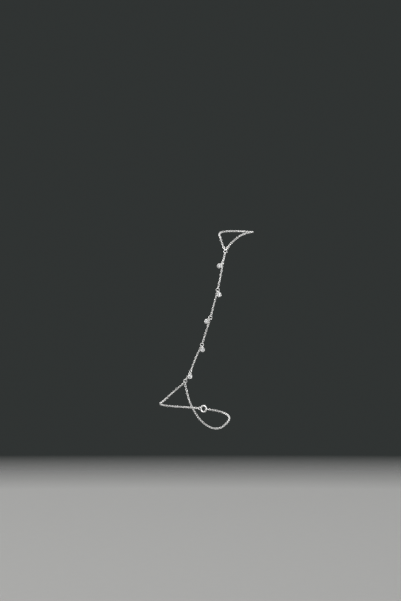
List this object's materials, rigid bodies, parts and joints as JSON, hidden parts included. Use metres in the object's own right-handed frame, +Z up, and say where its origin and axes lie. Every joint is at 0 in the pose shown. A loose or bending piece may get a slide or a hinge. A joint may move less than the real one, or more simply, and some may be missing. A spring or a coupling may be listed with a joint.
{
  "type": "hand chain bracelet",
  "caption": "Hand chain bracelet: a fine cable chain round the wrist, up the back of the hand and round a finger, with small stone charms hung from rings on the way.",
  "frame": {"origin": "middle of the opening for the wrist", "axes": "+Z up the hand to the fingers, -Y to the viewer of the back of the hand, +X to the thumb side"},
  "size_m": [0.0613, 0.0484, 0.1296],
  "materials": {
    "silver": "polished sterling silver",
    "stone": "clear, brilliant cut"
  },
  "bodies": {
    "root": {"wrist_ring": "silver", "finger_ring": "silver", "connector_ring_1": "silver", "connector_ring_2": "silver", "connector_ring_3": "silver", "connector_ring_4": "silver", "connector_ring_5": "silver", "charm_ring_1": "silver", "charm_ring_2": "silver", "charm_ring_3": "silver", "charm_ring_4": "silver", "charm_ring_5": "silver", "setting_1": "silver", "setting_2": "silver", "setting_3": "silver", "setting_4": "silver", "setting_5": "silver", "stone_1": "stone", "stone_2": "stone", "stone_3": "stone", "stone_4": "stone", "stone_5": "stone", "hand_chain_1": "silver", "hand_chain_2": "silver", "hand_chain_3": "silver", "hand_chain_4": "silver", "hand_chain_5": "silver", "hand_chain_6": "silver", "finger_chain": "silver", "wrist_chain_left": "silver", "wrist_chain_right": "silver", "clasp": "silver", "catch_ring": "silver"}
  },
  "joints": []
}
